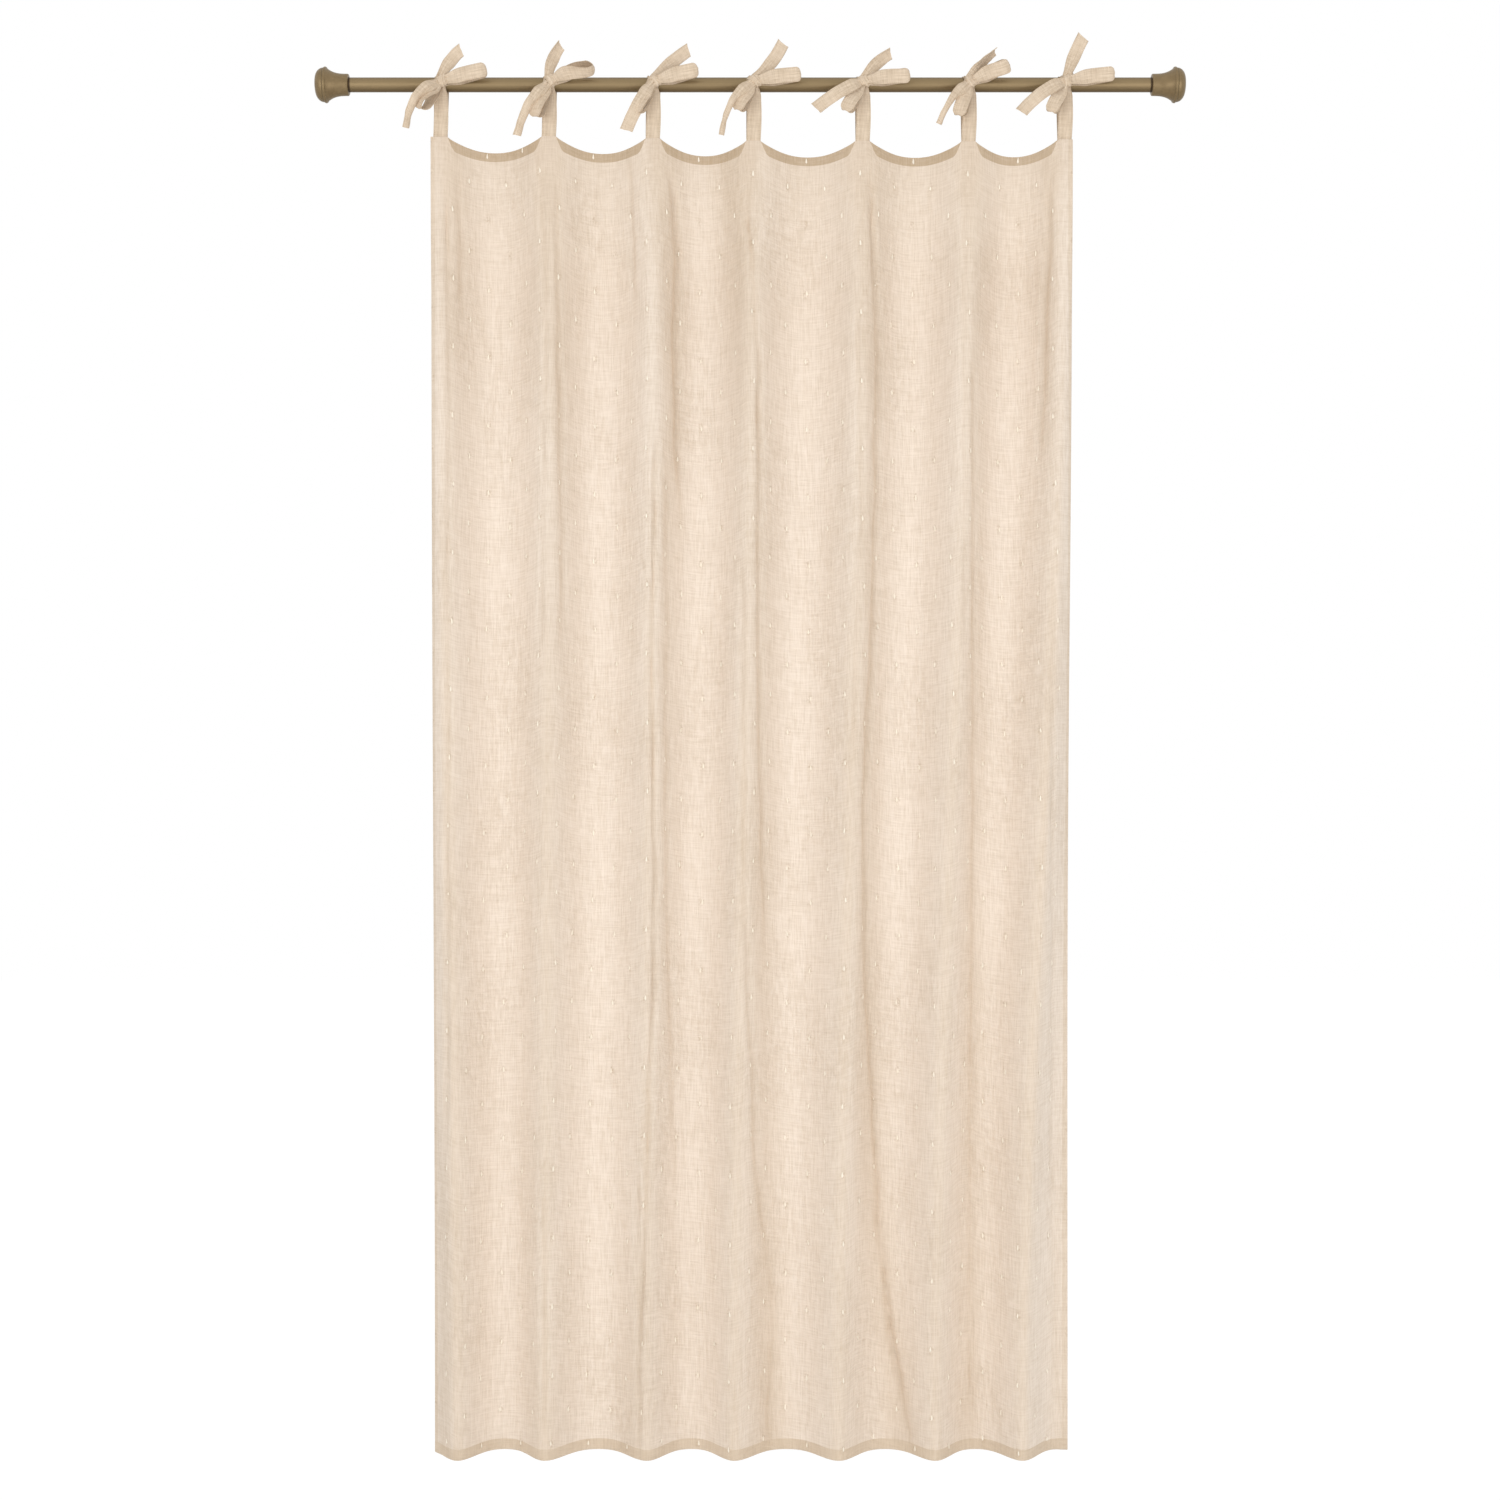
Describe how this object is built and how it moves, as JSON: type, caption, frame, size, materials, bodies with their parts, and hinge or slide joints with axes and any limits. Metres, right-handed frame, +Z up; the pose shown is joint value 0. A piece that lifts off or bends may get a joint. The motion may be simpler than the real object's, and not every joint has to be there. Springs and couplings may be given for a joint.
{
  "type": "tie top curtain",
  "caption": "Lightly folded sheer curtain panel with sewn straps tied in bows over a curtain rod that has a turned cap at each end.",
  "frame": {"origin": "centre of the left end cap's flat end face, on the rod's axis", "axes": "+X along the rod from the left cap to the right cap seen from the front, +Y towards the window behind the curtain, +Z up"},
  "size_m": [1.3396, 0.1016, 2.1886],
  "materials": {
    "panel_cloth": "sheer slub weave with woven dashes, matt",
    "facing_cloth": "the same cloth, doubled, matt",
    "strap_cloth": "the same cloth, folded and sewn, matt",
    "rod_metal": "satin antique gold",
    "cap_metal": "satin antique gold"
  },
  "bodies": {
    "root": {"rod_tube": "rod_metal", "left_end_cap": "cap_metal", "right_end_cap": "cap_metal", "curtain_panel": "panel_cloth", "top_facing": "facing_cloth", "tie_1_front_strap": "strap_cloth", "tie_1_back_strap": "strap_cloth", "tie_2_front_strap": "strap_cloth", "tie_2_back_strap": "strap_cloth", "tie_3_front_strap": "strap_cloth", "tie_3_back_strap": "strap_cloth", "tie_4_front_strap": "strap_cloth", "tie_4_back_strap": "strap_cloth", "tie_5_front_strap": "strap_cloth", "tie_5_back_strap": "strap_cloth", "tie_6_front_strap": "strap_cloth", "tie_6_back_strap": "strap_cloth", "tie_7_front_strap": "strap_cloth", "tie_7_back_strap": "strap_cloth"}
  },
  "joints": []
}
